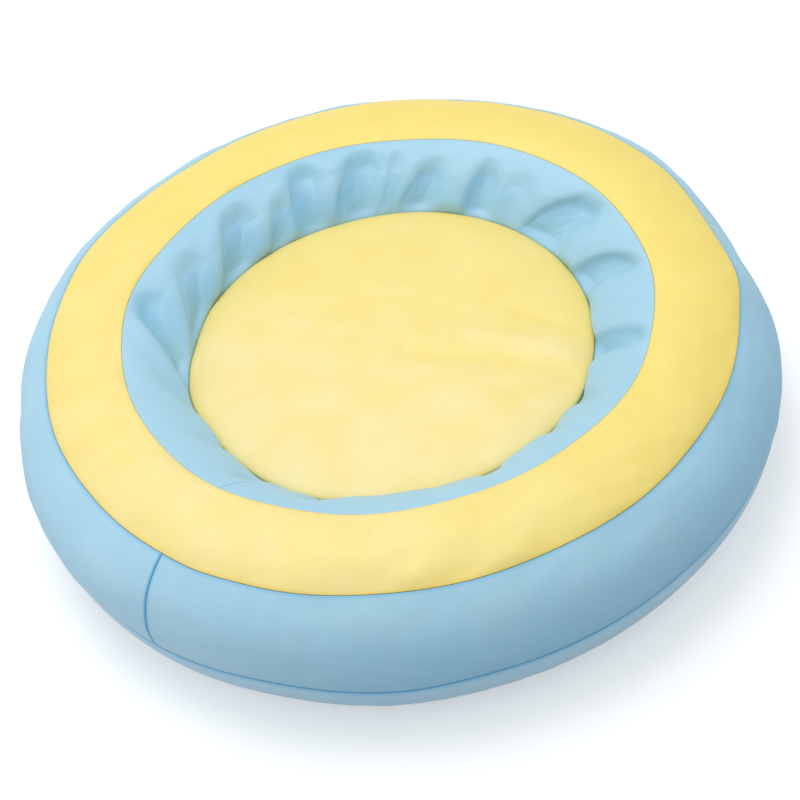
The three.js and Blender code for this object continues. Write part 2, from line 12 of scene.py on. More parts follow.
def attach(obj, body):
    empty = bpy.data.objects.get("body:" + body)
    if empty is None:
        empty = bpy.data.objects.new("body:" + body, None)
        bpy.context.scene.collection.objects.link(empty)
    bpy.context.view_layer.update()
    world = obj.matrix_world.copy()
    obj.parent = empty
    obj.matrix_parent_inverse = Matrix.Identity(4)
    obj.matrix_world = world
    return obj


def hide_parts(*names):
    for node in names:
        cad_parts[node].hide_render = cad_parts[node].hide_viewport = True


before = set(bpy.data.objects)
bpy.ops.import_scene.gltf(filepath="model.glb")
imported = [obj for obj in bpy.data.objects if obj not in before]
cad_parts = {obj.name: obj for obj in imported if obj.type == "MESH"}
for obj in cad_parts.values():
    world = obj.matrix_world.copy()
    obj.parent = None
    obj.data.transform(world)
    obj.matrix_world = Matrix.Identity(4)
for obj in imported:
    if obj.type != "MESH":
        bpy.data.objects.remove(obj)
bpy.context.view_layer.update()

# Foam ring: a collar of soft white upholstery foam that gives the lounger its shape. It stands on the
# base panels round the foam floor. Each seam of the cover lies in a notch of it, where the turned-in
# edges of the cloth sink, and the gathers of the inner band have pressed their folds into its wall.
mm = 0.001
full_turn = 2 * math.pi
cloth_thickness = 1.2 * mm
# Radius and height of the cover's four seams, from the floor outwards, and the radius of the flat foot.
floor_radius, floor_height = 240 * mm, 137 * mm
rim_radius, rim_height = 311 * mm, 198 * mm
shoulder_radius, shoulder_height = 409 * mm, 182 * mm
base_radius, base_height = 453 * mm, 73 * mm
foot_radius = 385 * mm
# How far the inner band runs out from the first seam to the second.
inner_run = 71 * mm


def lumps(angle, rows):
    # Smooth swellings round the lounger, each given as centre and half width in degrees, and height in mm.
    total = np.zeros_like(angle)
    for centre, half_width, height in rows:
        away = (angle - math.radians(centre) + math.pi) % full_turn - math.pi
        total = total + height * mm * np.exp(-((away / math.radians(half_width)) ** 2))
    return total


def drift(points, size, seed):
    # Soft uneven waves of about one size through space, with a spread of one.
    chance = np.random.default_rng(seed)
    total = np.zeros(points.shape[:-1])
    waves = 28
    for _ in range(waves):
        way = chance.normal(size=3)
        way = way / np.linalg.norm(way) * full_turn / (size * chance.uniform(0.7, 1.5))
        total = total + np.cos(points @ way + chance.uniform(0, full_turn))
    return total * math.sqrt(2 / waves)


def floor_seam(angle):
    # Radius and height at an angle, as for each seam below. The gathers pull this one out of round.
    out = lumps(angle, [
        (98, 20, -4), (148, 10, 2), (187, 9, 5.5), (175, 6, 2), (245, 45, 4), (238, 12, 3.5), (325, 15, 3)])
    sunk = lumps(angle, [(-4, 9, 4), (-33, 5, 6), (-44, 4, 6), (-136, 3, 6), (-122, 3, 6), (-116, 2, 6)])
    return floor_radius + out, floor_height - sunk


def rim_seam(angle):
    out = lumps(angle, [(-128, 22, 5), (-35, 20, 4), (170, 20, 2.5), (40, 20, 2.5)])
    wander = 0.8 * mm * (np.sin(7 * angle + 1) + np.sin(11 * angle + 2.3))
    return rim_radius + out + wander, rim_height + 0.3 * out


def shoulder_seam(angle):
    dent = lumps(angle, [
        (14, 16, -9), (20, 12, 5), (42, 14, 4), (-5, 6, 3), (96, 20, 4.5), (150, 9, 5), (-127, 6, 3.5),
        (-168, 26, -3.5)])
    wander = 0.7 * mm * (np.sin(6 * angle + 0.4) + np.sin(13 * angle + 1.9))
    return shoulder_radius + dent + wander, shoulder_height + 0.25 * dent


def base_seam(angle):
    wave = lumps(angle, [
        (-131, 9, -3), (-97, 8, -3), (-115, 8, 3), (-85, 8, 2), (-50, 12, 2), (-60, 26, 7)])
    return base_radius + 0 * angle, base_height + wave


def foot_edge(angle):
    return foot_radius + 0 * angle, 0 * angle


def section(first, second, bulge, angle, share):
    # Points and outward directions, as radius and height, of the arc from one seam to the next.
    ra, za = first(angle)
    rb, zb = second(angle)
    chord_r, chord_z = rb - ra, zb - za
    length = np.hypot(chord_r, chord_z)
    half = length / 2
    radius = (half ** 2 + bulge ** 2) / (2 * bulge)
    centre_r = (ra + rb) / 2 - chord_z / length * (bulge - radius)
    centre_z = (za + zb) / 2 + chord_r / length * (bulge - radius)
    start = np.arctan2(za - centre_z, ra - centre_r)
    way = start - 2 * np.arcsin(half / radius) * share
    out = np.stack([np.cos(way), np.sin(way)], -1)
    return np.stack([centre_r, centre_z], -1) + radius[..., None] * out, out


def turned(angle, flat):
    # Points or directions given as radius and height, turned to their place round the lounger.
    return np.stack([flat[..., 0] * np.cos(angle), flat[..., 0] * np.sin(angle), flat[..., 1]], -1)


def over_arc(first, second, bulge, grid, share, lift, depth=0):
    # Points and outward directions over the arc from one seam to the next, lifted off it and sunk.
    shares = np.broadcast_to(share, grid.shape)
    flat, out = section(first, second, bulge, grid, shares)
    rise = lift(grid, shares) - depth
    return turned(grid, flat + out * rise[..., None]), turned(grid, out)


# How far each panel bulges between its two seams.
inner_bulge, top_bulge, outer_bulge, roll_bulge = 9 * mm, 11.5 * mm, 20.7 * mm, 20.3 * mm
# How far the inner band's columns lean round from the rim seam down to the floor seam.
inner_lean = math.radians(7)
# Folds of the inner band: the line of each in degrees at the rim, half way down and at the floor, where
# it starts as a share of the way down, its depth and the width of its falling side in mm.
folds = [
    (-19.5, -14.7, -11.5, 0, 11, 24), (2, 13.3, 17, 0.05, 14, 30), (26, 38, 43, 0.02, 16, 46),
    (48.5, 51, 52, 0.2, 6, 34), (56, 60.8, 61.8, 0.18, 12, 28), (68.5, 77.2, 82.5, 0.24, 11, 32),
    (81, 84.5, 88, 0.08, 5, 20), (90, 98.3, 101.5, 0.05, 13, 44), (107.5, 112, 114.5, 0.02, 12, 36),
    (110, 118, 125, 0.3, 10, 26), (126, 136, 147, 0.14, 13, 46), (147, 156, 172, 0.18, 9, 50),
    (166, 176.5, 191, 0, 13, 50), (178, 190, 201, 0.35, 4, 24), (204, 211, 215, 0.35, 4, 14),
    (222, 231, 236, 0.3, 9, 22), (241, 250.5, 256, 0.3, 10, 24), (272, 276, 279, 0.6, 2, 16),
    (283, 290.5, 295, 0.3, 6, 20), (305, 310, 313, 0.35, 3.5, 12), (318, 324, 328, 0.3, 5, 16),
    (335, 341, 345, 0.35, 4, 14),
]
# Dents of the inner band: the middle of each in degrees and as a share of the width above the floor,
# its half width in degrees, its half height as a share, and its depth in mm.
dents = [(184, 0.5, 8, 0.2, 2.5), (28, 0.72, 5, 0.2, 2.5)]


def eased(share):
    # From nought to one with a soft start and a soft end.
    return share * share * (3 - 2 * share)


def beside_fold(fold, angle, share):
    # How far the cloth lies from a fold's line, on its clockwise side, and how far the fold has begun.
    down = 1 - share
    at_rim, half_way, at_floor, start = fold[:4]
    line = np.radians(at_rim * (1 - down) * (1 - 2 * down) + 4 * half_way * down * (1 - down)
                      + at_floor * down * (2 * down - 1))
    away = (line - angle + math.pi) % full_turn - math.pi
    begun = np.clip((down - start + 0.02) / 0.3, 0, 1)
    return away * (floor_radius + inner_run * share), eased(begun)


def gathers(angle, share):
    # How far the gathered cloth stands out from its plain arc. It swells over the edge of the floor,
    # and each fold drops steeply on its clockwise side and rises again easily to the next.
    root = eased(np.clip(share / 0.14, 0, 1))
    swell = 3.5 * mm + lumps(angle, [
        (108, 35, 4.5), (30, 30, 2), (250, 60, -2), (205, 10, 4), (268, 10, 4), (302, 6, 3), (317, 3, 5),
        (334, 5, 5), (354, 7, 7)])
    belly = lumps(angle, [(140, 72, 9)])
    out = root * swell * np.exp(-((share / 0.42) ** 2)) + 4 * belly * share * (1 - share)
    for fold in folds:
        away, begun = beside_fold(fold, angle, share)
        start, depth, width = fold[3], fold[4] * mm, fold[5] * mm
        width = width * (0.5 + 0.5 * np.clip((1 - share - start) / 0.35, 0, 1))
        soft = (away + np.sqrt(away ** 2 + (4 * mm) ** 2)) / 2
        left = 1 - np.clip(soft / width, 0, 1)
        past = np.maximum(away - width, 0) / (0.5 * width + 4 * mm)
        drop = (1 - left * left) * np.exp(-(past ** 2))
        ridge = 0.12 * np.exp(-(((away + 10 * mm) / (18 * mm)) ** 2))
        out = out + 1.1 * depth * begun * root * (ridge - drop)
    for centre, level, half_width, half_height, depth in dents:
        high = np.exp(-(((share - level) / half_height) ** 2)) * np.clip((1 - share) / 0.1, 0, 1)
        out = out - lumps(angle, [(centre, half_width, depth)]) * high
    return out


def lips(angle, share):
    # How far the cloth of each ridge leans over its own drop, as an angle.
    root = np.clip(share / 0.12, 0, 1)
    total = np.zeros_like(angle)
    for fold in folds:
        away, begun = beside_fold(fold, angle, share)
        lean = 0.2 * fold[4] * mm * begun * root * np.exp(-(((away - 2 * mm) / (8 * mm)) ** 2))
        total = total - lean
    return total / (floor_radius + inner_run * share)


def outer_lift(angle, share):
    # How far the outer band stands out from its plain arc: flattened where it was leant on, tucked in
    # once under the shoulder seam, and a little uneven.
    flat, _ = section(shoulder_seam, base_seam, outer_bulge, angle, share)
    points = turned(angle, flat)
    free = np.clip(np.minimum(share, 1 - share) / 0.12, 0, 1)
    form = lumps(angle, [(9, 20, -13), (37, 8, 4), (130, 28, 6), (-140, 24, 5)]) * np.sin(math.pi * share)
    tuck = lumps(angle, [(3, 3, -4)]) * np.exp(-(((share - 0.13) / 0.07) ** 2))
    waves = 0.9 * mm * drift(points, 130 * mm, 3) + 0.28 * mm * drift(points, 38 * mm, 4)
    return form + tuck + free * waves


def top_lift(angle, share):
    # The slight unevenness of the top band, gone at its seams.
    flat, _ = section(rim_seam, shoulder_seam, top_bulge, angle, share)
    points = turned(angle, flat)
    free = np.clip(np.minimum(share, 1 - share) / 0.1, 0, 1)
    return free * (0.7 * mm * drift(points, 90 * mm, 5) + 0.3 * mm * drift(points, 34 * mm, 6))


def base_lift(angle, share):
    # Small puckers across the roll of the base, where a flat panel is drawn round the foot.
    place = np.stack([0.45 * np.cos(angle), 0.45 * np.sin(angle), 0.05 * share + 0 * angle], -1)
    free = np.clip(np.minimum(share, 1 - share) / 0.25, 0, 1)
    under = np.clip((share - 0.35) / 0.3, 0, 1)
    return free * under * (0.5 * mm * drift(place, 42 * mm, 10) + 0.3 * mm * drift(place, 19 * mm, 11))


# The base is drawn up in a valley along the zip. Half its flat width and half its full length, how
# far it fades on each side and at each end, and how high the foam rises there.
valley_half_width, valley_half_length = 19.8 * mm, 324 * mm
valley_side_fade, valley_end_fade = 40.2 * mm, 42 * mm
foam_valley = 12.6 * mm


def valley(x, y, height):
    aside = np.clip((np.abs(y) - valley_half_width) / valley_side_fade, 0, 1)
    beyond = np.clip((np.abs(x) - valley_half_length) / valley_end_fade, 0, 1)
    return height * (1 + np.cos(math.pi * aside)) / 2 * (1 + np.cos(math.pi * beyond)) / 2


def in_scene(name, data):
    # A new object in the scene.
    made = bpy.data.objects.new(name, data)
    bpy.context.scene.collection.objects.link(made)
    return made


def quilt(name, points, round_columns, round_rows, left_out=None):
    # A mesh over a grid of points, column by column round the lounger and row by row outwards.
    columns, rows = points.shape[:2]
    i = np.arange(columns if round_columns else columns - 1)
    j = np.arange(rows if round_rows else rows - 1)
    i, j = [a.ravel() for a in np.meshgrid(i, j, indexing="ij")]
    if left_out is not None:
        kept = ~left_out(i, j)
        i, j = i[kept], j[kept]
    ni, nj = (i + 1) % columns, (j + 1) % rows
    faces = np.stack([i * rows + j, i * rows + nj, ni * rows + nj, ni * rows + j], -1)
    mesh = bpy.data.meshes.new(name)
    mesh.from_pydata(points.reshape(-1, 3).tolist(), [], faces.tolist())
    joined = bmesh.new()
    joined.from_mesh(mesh)
    bmesh.ops.remove_doubles(joined, verts=joined.verts, dist=1e-6)
    bmesh.ops.delete(joined, geom=[v for v in joined.verts if not v.link_faces], context="VERTS")
    joined.to_mesh(mesh)
    joined.free()
    mesh.shade_smooth()
    return in_scene(name, mesh)


def shader(name, colour, roughness, **more):
    # A new material with its colour, its roughness and more such values, and the nodes to build on.
    material = bpy.data.materials.new(name)
    material.use_nodes = True
    tree = material.node_tree
    surface = tree.nodes["Principled BSDF"]
    for entry, value in {"Base Color": (*colour, 1), "Roughness": roughness, **more}.items():
        surface.inputs[entry.replace("_", " ")].default_value = value
    return material, tree, surface


def linear(red, green, blue):
    # A colour as a screen shows it, from 0 to 255, as the light that it stands for.
    return [((v / 255 + 0.055) / 1.055) ** 2.4 if v > 10 else v / 255 / 12.92 for v in (red, green, blue)]


def node(tree, kind, **values):
    # A new node, with its settings and the values of its sockets.
    made = tree.nodes.new(kind)
    for key, value in values.items():
        if hasattr(made, key):
            setattr(made, key, value)
        else:
            made.inputs[key.replace("_", " ")].default_value = value
    return made


def link_up(tree, *links):
    # Each link is a node and its output, and the node and the input that it goes to.
    for source, output, target, entry in links:
        tree.links.new(source.outputs[output], target.inputs[entry])


def two_tints(tree, first, second):
    # A node that goes from one colour to another by its factor.
    return node(tree, "ShaderNodeMix", data_type="RGBA", A=(*linear(*first), 1), B=(*linear(*second), 1))


def soft_foam():
    material, tree, surface = shader("white_foam", linear(240, 236, 222), 0.95)
    place = node(tree, "ShaderNodeTexCoord")
    cells = node(tree, "ShaderNodeTexVoronoi", Scale=900)
    cloud = node(tree, "ShaderNodeTexNoise", Scale=14, Detail=3)
    tint = two_tints(tree, (243, 239, 226), (233, 226, 205))
    bump = node(tree, "ShaderNodeBump", Strength=0.6, Distance=0.0004)
    link_up(
        tree, (place, "Object", cells, "Vector"), (place, "Object", cloud, "Vector"),
        (cloud, "Fac", tint, "Factor"), (tint, "Result", surface, "Base Color"),
        (cells, "Distance", bump, "Height"), (bump, "Normal", surface, "Normal"))
    return material


foam = soft_foam()
foam_gap = cloth_thickness + 0.4 * mm
notch_depth = 14 * mm
columns_round = 720
angles = np.arange(columns_round) * full_turn / columns_round
stations = np.linspace(0.035, 0.965, 22)


def foam_face(first, second, bulge, depth, lift, lean=0):
    # The foam's face under a panel, from just past one notch to just before the next.
    grid = angles[:, None] + lean * (1 - stations[None, :])
    return over_arc(first, second, bulge, grid, stations, lift, depth)[0]


def notch_bottom(seam, inwards):
    # The line at the bottom of the notch under a seam.
    r, z = seam(angles)
    bottom = np.stack([r + inwards[0] * notch_depth, z + inwards[1] * notch_depth], -1)
    return turned(angles, bottom)[:, None, :]


# The way into the filling at each seam, as radius and height.
rim_inwards, shoulder_inwards, base_inwards = (0.31, -0.951), (-0.576, -0.817), (-0.981, -0.194)
seam_r, seam_z = floor_seam(angles + inner_lean)
wall = turned(np.repeat(angles[:, None] + inner_lean, 2, 1), np.stack([
    np.stack([seam_r + 1.9 * mm] * 2, 1), np.stack([0 * seam_z, seam_z - 1 * mm], 1)], -1))
under_r = np.linspace(np.full(columns_round, foot_radius), seam_r + 5 * mm, 24).T
under = turned(angles[:, None] + inner_lean * np.linspace(0, 1, 24), np.stack([under_r, 0 * under_r], -1))
for low_face in (wall[:, :1], under):
    low_face[..., 2] = foam_gap + valley(low_face[..., 0], low_face[..., 1], foam_valley)
foam_ring = quilt("ring_of_foam", np.concatenate([
    wall,
    foam_face(floor_seam, rim_seam, inner_bulge, foam_gap + 1.2 * mm, gathers, inner_lean),
    notch_bottom(rim_seam, rim_inwards),
    foam_face(rim_seam, shoulder_seam, top_bulge, foam_gap, top_lift),
    notch_bottom(shoulder_seam, shoulder_inwards),
    foam_face(shoulder_seam, base_seam, outer_bulge, foam_gap, outer_lift),
    notch_bottom(base_seam, base_inwards),
    foam_face(base_seam, foot_edge, roll_bulge, foam_gap, base_lift),
    under], 1), True, True)
foam_ring.data.materials.append(foam)
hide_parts("foam_ring")
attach(foam_ring, "lounger")

# Foam floor: a thick disc of the same foam inside the ring, a little crowned, that the infant lies on.
# It is cut separately and dropped in, and its lower face is hollowed along the zip.
crown = 12 * mm


def crowned(rho):
    # Height of the floor above its seam at a share of its radius: nearly flat, with a quick round edge.
    return crown * np.sqrt(np.clip(1 - rho ** 6, 0, 1))


# Single wrinkles: the two ends of each in mm, the half width and the height, which is below nought
# for a valley.
wrinkles = [
    (20, -25, 190, -95, 16, -2.6), (100, -15, 205, -72, 13, 2.1), (150, 12, 222, -42, 11, -2.2),
    (130, -128, 205, -112, 13, -2.1), (-60, 90, 60, 78, 18, 1.2), (-130, -40, -40, -90, 20, 1.2),
]


def wrinkled(points):
    # Height of the wrinkles at each point, in mm.
    total = np.zeros(points.shape[:-1])
    for x1, y1, x2, y2, half_width, height in wrinkles:
        first, last = np.array([x1, y1]) * mm, np.array([x2, y2]) * mm
        along = (points[..., :2] - first) @ (last - first) / ((last - first) @ (last - first))
        nearest = first + np.clip(along, 0, 1)[..., None] * (last - first)
        away = np.linalg.norm(points[..., :2] - nearest, axis=-1)
        total = total + height * np.exp(-((away / (half_width * mm)) ** 2))
    return total


def floor_lift(points, rho):
    # Broad shallow wrinkles of the floor, gone towards its edge.
    loose = np.clip((1 - rho) / 0.15, 0, 1)
    return loose * (0.8 * mm * drift(points, 110 * mm, 8) + 0.35 * mm * drift(points, 40 * mm, 9)
                    + wrinkled(points) * mm)


def disc(radius, rho, height):
    # Points over a disc, column by column, at shares of its radius with a height for each.
    grid = np.repeat(angles[:, None], len(rho), 1)
    return turned(grid, np.stack([radius * rho[None], height[None] + 0 * grid], -1))


edge_turn = np.linspace(math.radians(65), 0, 14)
rho_steps = np.concatenate([np.linspace(0, 0.72, 30), np.cos(edge_turn) ** (1 / 3)])
disc_radius = floor_seam(angles[:, None])[0] - 2.1 * mm
floor_top = disc(disc_radius, rho_steps, floor_height - foam_gap + crowned(rho_steps))
floor_top[..., 2] += floor_lift(floor_top * (1, 1, 0), rho_steps[None])
low_rho = np.linspace(1, 0, 26)
floor_low = disc(disc_radius, low_rho, 0 * low_rho)
floor_low[..., 2] = foam_gap + valley(floor_low[..., 0], floor_low[..., 1], foam_valley)
foam_floor = quilt("disc_of_foam", np.concatenate([floor_top, floor_low], 1), True, False)
foam_floor.data.materials.append(foam)
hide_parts("foam_floor")
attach(foam_floor, "lounger")

# Outer band: a strip of pale blue leathercloth round the side, its ends closed by a join at the front
# left. It is the same wipe-clean cloth as the rest of the cover: a knitted backing with a soft
# embossed skin. All edges are turned in at the seams, and the foam keeps it tight.
half_gap = 0.15 * mm
allowance = 8 * mm
# Radius of a turned edge, and of the one at the base seam, which is slack.
roll_in, base_roll = 0.9 * mm, 2 * mm


def turned_edge(roll):
    # One sewn edge of the cloth: how far from the seam and how deep, from its cut edge round the roll.
    curve = np.radians([0, 30, 60, 90])
    away = [half_gap] * 2 + [half_gap + roll * (1 - math.cos(a)) for a in curve]
    deep = [roll + allowance, roll + allowance / 2] + [roll * (1 - math.sin(a)) for a in curve]
    return np.array(away), np.array(deep)


def across(length, steps, first_roll=roll_in, last_roll=roll_in):
    # Stations over cloth that is sewn at both edges: share of the width, and depth turned in there.
    first_away, first_deep = turned_edge(first_roll)
    last_away, last_deep = turned_edge(last_roll)
    middle = np.linspace(first_away[-1], length - last_away[-1], steps + 1)[1:-1]
    share = np.concatenate([first_away, middle, length - last_away[::-1]]) / length
    return share, np.concatenate([first_deep, 0 * middle, last_deep[::-1]])


def leathercloth(name, colour, painted_light_tint, mottle, seam_and_shade_tint, deep):
    # Embossed cloth, mottled a little. The attribute "pale" mixes in a paler tint as painted light and
    # sheen. The attribute "seam" mixes in a darker one where the cloth is creased at a seam, and as painted
    # shade in hollows. Above one it gives a still darker tint where the cloth goes down into a seam.
    material, tree, surface = shader(name, linear(*colour), 0.5, Specular_IOR_Level=0.8)
    place = node(tree, "ShaderNodeTexCoord")
    cloud = node(tree, "ShaderNodeTexNoise", Scale=14, Detail=5, Roughness=0.6)
    blend = node(tree, "ShaderNodeMapRange", From_Min=0.36, From_Max=0.64, To_Max=0.4)
    painted_light_attribute = node(tree, "ShaderNodeAttribute", attribute_name="pale")
    seam = node(tree, "ShaderNodeAttribute", attribute_name="seam")
    within = node(tree, "ShaderNodeMath", operation="SUBTRACT", use_clamp=True)
    within.inputs[1].default_value = 1
    tints = [node(tree, "ShaderNodeMix", data_type="RGBA") for _ in range(4)]
    tints[0].inputs["A"].default_value = (*linear(*colour), 1)
    for tint, other in zip(tints, (painted_light_tint, mottle, seam_and_shade_tint, deep)):
        tint.inputs["B"].default_value = (*linear(*other), 1)
    cells = node(tree, "ShaderNodeTexVoronoi", Scale=760)
    fine = node(tree, "ShaderNodeTexNoise", Scale=420, Detail=3)
    pebble = node(tree, "ShaderNodeMath", operation="MULTIPLY_ADD")
    pebble.inputs[1].default_value = 0.6
    bump = node(tree, "ShaderNodeBump", Strength=0.6, Distance=0.0002)
    gloss = node(tree, "ShaderNodeMapRange", To_Min=0.42, To_Max=0.58)
    link_up(
        tree, (place, "Object", cloud, "Vector"), (place, "Object", cells, "Vector"),
        (place, "Object", fine, "Vector"), (cloud, "Fac", blend, "Value"),
        (painted_light_attribute, "Fac", tints[0], "Factor"), (blend, "Result", tints[1], "Factor"),
        (seam, "Fac", tints[2], "Factor"), (tints[0], "Result", tints[1], "A"),
        (tints[1], "Result", tints[2], "A"), (seam, "Fac", within, 0),
        (within, "Value", tints[3], "Factor"), (tints[2], "Result", tints[3], "A"),
        (tints[3], "Result", surface, "Base Color"), (cells, "Distance", pebble, 0),
        (fine, "Fac", pebble, 2), (pebble, "Value", bump, "Height"), (bump, "Normal", surface, "Normal"),
        (fine, "Fac", gloss, "Value"), (gloss, "Result", surface, "Roughness"))
    return material


# Its paler tint is painted light, and its creased tint darkens the seams and gives painted shade.
blue = leathercloth("blue_leathercloth", colour=(170, 212, 231), painted_light_tint=(182, 221, 243),
                    mottle=(160, 206, 229), seam_and_shade_tint=(98, 177, 216), deep=(62, 118, 140))


def seam_shade(piece, *seams, painted_shade=None, pale=None):
    # Marks the cloth near its seams, where it is creased and a little darker. It adds the painted shade
    # that it is given, in hollows and low on the side, and the painted light. Each seam comes with its
    # darkness and with how far that reaches, in mm.
    points = np.array([v.co for v in piece.data.vertices])
    angle = np.arctan2(points[:, 1], points[:, 0])
    r = np.hypot(points[:, 0], points[:, 1])
    shade = 0 * r if painted_shade is None else painted_shade(angle, points[:, 2])
    for seam, darkness, reach in seams:
        sr, sz = seam(angle)
        near = np.hypot(r - sr, points[:, 2] - sz)
        shade = np.maximum(shade, darkness * np.exp(-near / (reach * mm)))
    for name, values in (("seam", shade), ("pale", 0 * r if pale is None else pale(angle, points))):
        mark = piece.data.attributes.new(name, "FLOAT", "POINT")
        mark.data.foreach_set("value", np.clip(values, 0, 2).astype(np.float32))


def thickened(piece):
    # Gives a sheet the cloth's thickness, inwards.
    wall = piece.modifiers.new("cloth", "SOLIDIFY")
    wall.thickness = cloth_thickness
    wall.offset = -1
    wall.use_even_offset = False


def sewn_band(name, first, second, bulge, width, inwards, rolls, lift, join=None, lean=0, shaped=None):
    # A ring of cloth between two seams. A join, in radians, gives it two ends that are turned in too.
    share, deep = across(width, 34, *rolls)
    ways = np.where(share[:, None] < 0.5, inwards[0], inwards[1])
    if join is None:
        angle, end_deep = angles, np.zeros(len(angles))
    else:
        ends, end_deep = across(full_turn * first(np.array([join]))[0][0], 900)
        angle = join + full_turn * ends
    grid = angle[:, None] + lean * (1 - share[None, :])
    points, outwards = over_arc(first, second, bulge, grid, share, lift)
    if shaped is not None:
        points = shaped(angle, share)
    points = points + turned(grid, np.broadcast_to(ways, (*grid.shape, 2))) * deep[None, :, None]
    points = points - outwards * end_deep[:, None, None]
    corner = lambda i, j: (
        (np.maximum(end_deep[i], end_deep[(i + 1) % len(angle)]) > roll_in * 1.01)
        & ((j < 2) | (j > len(share) - 4)))
    piece = quilt(name, points, join is None, False, corner)
    thickened(piece)
    return piece


outer_join = math.radians(-133.2)
outer_width = 126 * mm
outer_band = sewn_band("outer_band_cloth", shoulder_seam, base_seam, outer_bulge, outer_width,
                       (shoulder_inwards, base_inwards), (roll_in, base_roll), outer_lift, outer_join)


def painted_shade_low_side(angle, height):
    # Painted shade: the cloth is drawn darker low on the side and at the right, less so at the front left.
    # The join's line is darker too.
    low = 0.52 * np.clip((165 * mm - height) / (80 * mm), 0, 1)
    low = low * (1 + lumps(angle, [(-132, 28, -0.9)]) / mm) + lumps(angle, [(-16, 30, 0.2)]) / mm
    return low + lumps(angle, [(math.degrees(outer_join), 0.28, 1.2)]) / mm


# Painted light: the outer band is drawn a little paler at the front left, where the side lamp lights it.
def painted_light_left(angle, points):
    return lumps(angle, [(-140, 26, 0.2)]) / mm


seam_shade(outer_band, (shoulder_seam, 1.2, 1.5), (base_seam, 2.1, 1.7), painted_shade=painted_shade_low_side, pale=painted_light_left)
outer_band.data.materials.append(blue)
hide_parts("outer_band")
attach(outer_band, "lounger")

# Top band: a flat ring of yellow leathercloth cut in one piece, sewn to the outer band at the shoulder
# and to the inner band at the rim, and rounded by the foam under it.
# Its paler tint is painted sheen and light, and its creased tint darkens the seams.
yellow = leathercloth("yellow_leathercloth", colour=(251, 225, 112), painted_light_tint=(254, 232, 160),
                      mottle=(250, 220, 98), seam_and_shade_tint=(243, 205, 80), deep=(140, 115, 45))


# Painted sheen: the top band is drawn paler at the left and the front, where it catches the light.
def painted_sheen_top_band(angle, points):
    return 0.05 + lumps(angle, [(230, 65, 0.8)]) / mm


# Width between the seams, and radius of the turned edge at the rim, which is pressed sharp.
top_width, rim_roll = 103 * mm, 0.5 * mm
top_band = sewn_band("top_band_cloth", rim_seam, shoulder_seam, top_bulge, top_width,
                     (rim_inwards, shoulder_inwards), (rim_roll, roll_in), top_lift)
seam_shade(top_band, (rim_seam, 0.3, 2.5), (shoulder_seam, 0.8, 2.5), pale=painted_sheen_top_band)
top_band.data.materials.append(yellow)
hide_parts("top_band")
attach(top_band, "lounger")

# Inner band: the wall of the nest, a strip of blue leathercloth that is longer than the floor seam and
# gathered on to it, so that it falls in deep slanting folds. Its ends meet in a join at the front left.
inner_join = math.radians(-132)
inner_width, inner_rise = 96 * mm, 61 * mm
# How much longer the cloth is than the way round at the floor, and how far it may move as it settles.
fullness = 0.13
most_settling = 12 * mm


def between(grid, at, axis, wrap):
    # Values of a grid at places between its columns or rows, on smooth curves through them.
    count = grid.shape[axis]
    low = np.floor(at).astype(int)
    t = (at - low).reshape([-1, 1, 1] if axis == 0 else [1, -1, 1])
    a, b, c, d = [
        np.take(grid, (low + k) % count if wrap else np.clip(low + k, 0, count - 1), axis)
        for k in (-1, 0, 1, 2)]
    return b + t / 2 * (c - a + t * (2 * a - 5 * b + 4 * c - d + t * (3 * (b - c) + d - a)))


def folded(grid, share):
    # The gathered cloth before it settles, its plain arc, and its outward directions.
    flat, out = section(floor_seam, rim_seam, inner_bulge, grid, share)
    gathered = turned(grid + lips(grid, share), flat + out * gathers(grid, share)[..., None])
    return gathered, flat, turned(grid, out)


